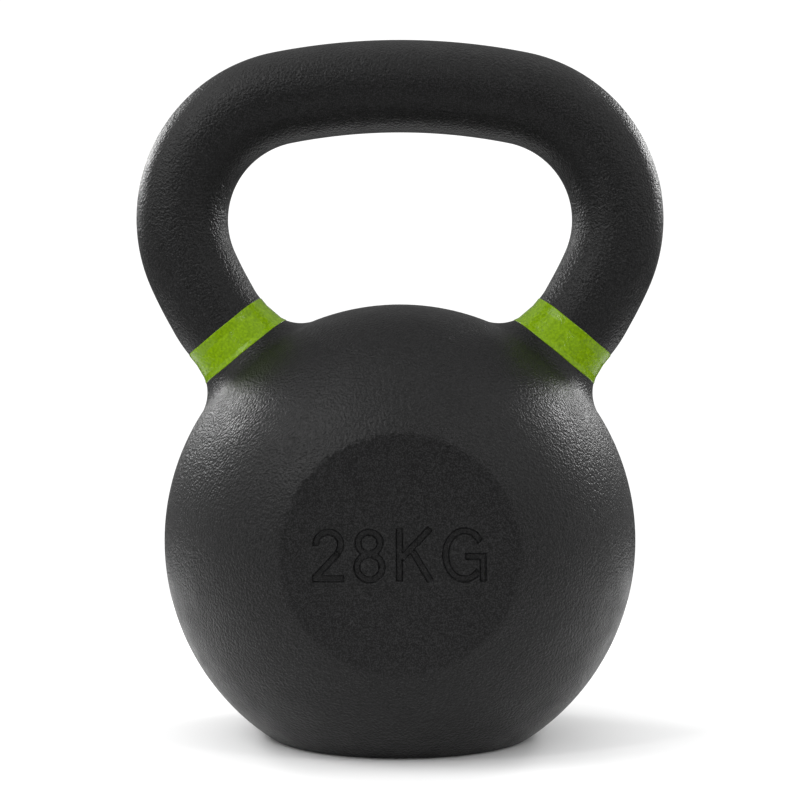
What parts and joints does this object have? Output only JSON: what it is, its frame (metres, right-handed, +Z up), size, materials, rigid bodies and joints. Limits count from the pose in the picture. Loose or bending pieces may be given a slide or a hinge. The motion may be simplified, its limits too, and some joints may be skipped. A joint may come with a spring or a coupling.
{
  "type": "kettlebell",
  "caption": "Round-bodied cast iron kettlebell with a looped handle, flared necks, colour bands, flat base and a front face marked with its weight",
  "frame": {"origin": "centre of the flat base, on the floor", "axes": "+Z up, +X to the right across the handle as seen from the front, -Y out of the marked front face"},
  "size_m": [0.2152, 0.17, 0.2831],
  "materials": {
    "coated_iron": "black powder coat over sand-cast grain",
    "green_enamel": "glossy yellow-green enamel"
  },
  "bodies": {
    "root": {"casting": "coated_iron", "left_color_band": "green_enamel", "right_color_band": "green_enamel"}
  },
  "joints": []
}
